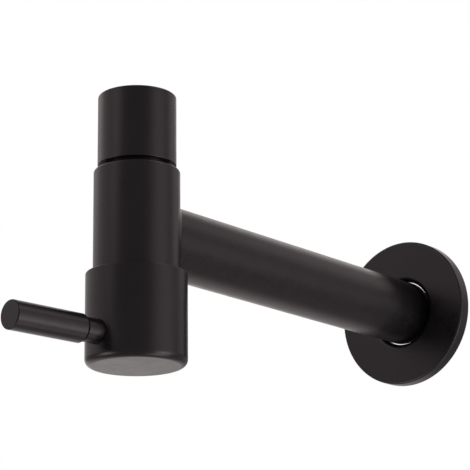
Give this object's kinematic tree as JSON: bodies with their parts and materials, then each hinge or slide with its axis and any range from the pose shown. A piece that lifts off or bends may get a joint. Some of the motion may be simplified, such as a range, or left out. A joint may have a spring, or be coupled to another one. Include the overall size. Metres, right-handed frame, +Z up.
{
  "type": "wall-mounted cold water tap",
  "caption": "Wall tap with a straight round arm, upright valve body, lever handle on a quarter-turn ceramic cartridge, sliding round rosette and aerator outlet.",
  "frame": {"origin": "where the axis of the arm and of its threaded tail meets the finished wall, in the plane of the rosette's back rim", "axes": "+Y runs along the arm into the wall, +Z is up, +X is to the right for a person who faces the wall; the valve body's axis stands 160 mm in front of the wall, along Z"},
  "size_m": [0.058, 0.2279, 0.0962],
  "materials": {
    "black_coating": "matte black coating on brass",
    "raw_brass": "turned, uncoated",
    "steel": "plain stainless steel",
    "ceramic": "lapped alumina ceramic",
    "rubber": "moulded seal rubber",
    "plastic": "moulded acetal"
  },
  "bodies": {
    "tap": {"tap_body": "black_coating", "supply_arm": "black_coating", "inlet_tail": "black_coating", "cartridge_housing": "raw_brass", "collar_seal": "rubber", "glide_ring": "plastic", "fixed_disc": "ceramic", "seat_gasket": "rubber", "outlet_sleeve": "black_coating", "outlet_gasket": "rubber", "aerator_washer": "rubber", "aerator_housing": "plastic", "flow_straightener": "plastic", "aerator_diffuser": "plastic", "inlet_screen": "steel"},
    "handle": {"handle_cap": "black_coating", "lever_pin": "black_coating", "lever_stud": "steel", "handle_grub_screw": "steel", "spindle": "raw_brass", "spindle_seal_lower": "rubber", "spindle_seal_upper": "rubber", "spindle_circlip": "steel", "turning_disc": "ceramic"},
    "rosette": {"rosette": "black_coating"}
  },
  "joints": [
    {"name": "handle_turn", "type": "hinge", "parent": "tap", "child": "handle", "pos_m": [0, -0.16, 0], "axis": [0, 0, 1], "range_deg": [0, 90]},
    {"name": "rosette_slide", "type": "slide", "parent": "tap", "child": "rosette", "axis": [0, -1, 0], "range_m": [0, 0.135]}
  ]
}
